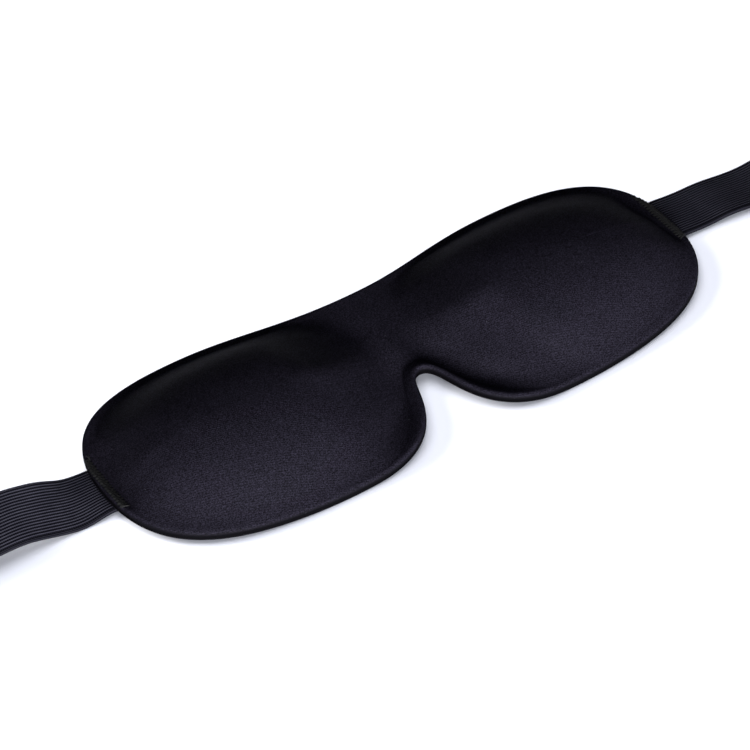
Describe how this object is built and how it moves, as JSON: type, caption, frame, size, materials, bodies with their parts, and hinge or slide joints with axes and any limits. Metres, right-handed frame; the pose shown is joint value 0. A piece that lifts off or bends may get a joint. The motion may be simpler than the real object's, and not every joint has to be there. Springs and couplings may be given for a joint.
{
  "type": "sleep eye mask",
  "caption": "Contoured sleep mask with two moulded eye domes, a nose notch and two sewn-on elastic strap halves that join by hook-and-loop tape.",
  "frame": {"origin": "midway between the two eye cavities, on the mirror plane of the mask, at the level the rim rests on", "axes": "+X along the mask to the wearer's left when worn with the front outwards, +Y towards the forehead edge, +Z out of the front cover, away from the face"},
  "size_m": [0.534, 0.085, 0.0192],
  "materials": {
    "knit": "smooth fine knit, near black with a faint violet cast",
    "foam": "matt moulded foam",
    "elastic": "ribbed woven elastic with a soft sheen",
    "thread": "satin polyester thread",
    "hook_tape": "stiff nylon hooks on woven tape",
    "loop_tape": "brushed nylon loops"
  },
  "bodies": {
    "mask": {"front_cover": "knit", "foam_core": "foam", "rear_lining": "knit", "left_strap_anchor": "elastic", "right_strap_anchor": "elastic", "left_bartack": "thread", "right_bartack": "thread"},
    "left_strap": {"left_strap_band": "elastic"},
    "left_strap_end": {"left_strap_tab": "elastic", "hook_patch": "hook_tape", "hook_patch_stitching": "thread"},
    "right_strap": {"right_strap_band": "elastic"},
    "right_strap_end": {"right_strap_tab": "elastic", "loop_patch": "loop_tape", "loop_patch_stitching": "thread"}
  },
  "joints": [
    {"name": "left_strap_fold", "type": "hinge", "parent": "mask", "child": "left_strap", "pos_m": [-0.119, 0.0055, 0.00208], "axis": [0, -1, 0], "range_deg": [-90, 105], "stiffness_Nm_per_rad": 0.0005},
    {"name": "left_strap_stretch", "type": "slide", "parent": "left_strap", "child": "left_strap_end", "axis": [-1, 0, 0], "range_m": [0, 0.06], "stiffness_N_per_m": 40, "deforming": ["left_strap_band"]},
    {"name": "right_strap_fold", "type": "hinge", "parent": "mask", "child": "right_strap", "pos_m": [0.119, 0.0055, 0.00208], "axis": [0, 1, 0], "range_deg": [-90, 105], "stiffness_Nm_per_rad": 0.0005},
    {"name": "right_strap_stretch", "type": "slide", "parent": "right_strap", "child": "right_strap_end", "axis": [1, 0, 0], "range_m": [0, 0.04], "stiffness_N_per_m": 60, "deforming": ["right_strap_band"]}
  ]
}
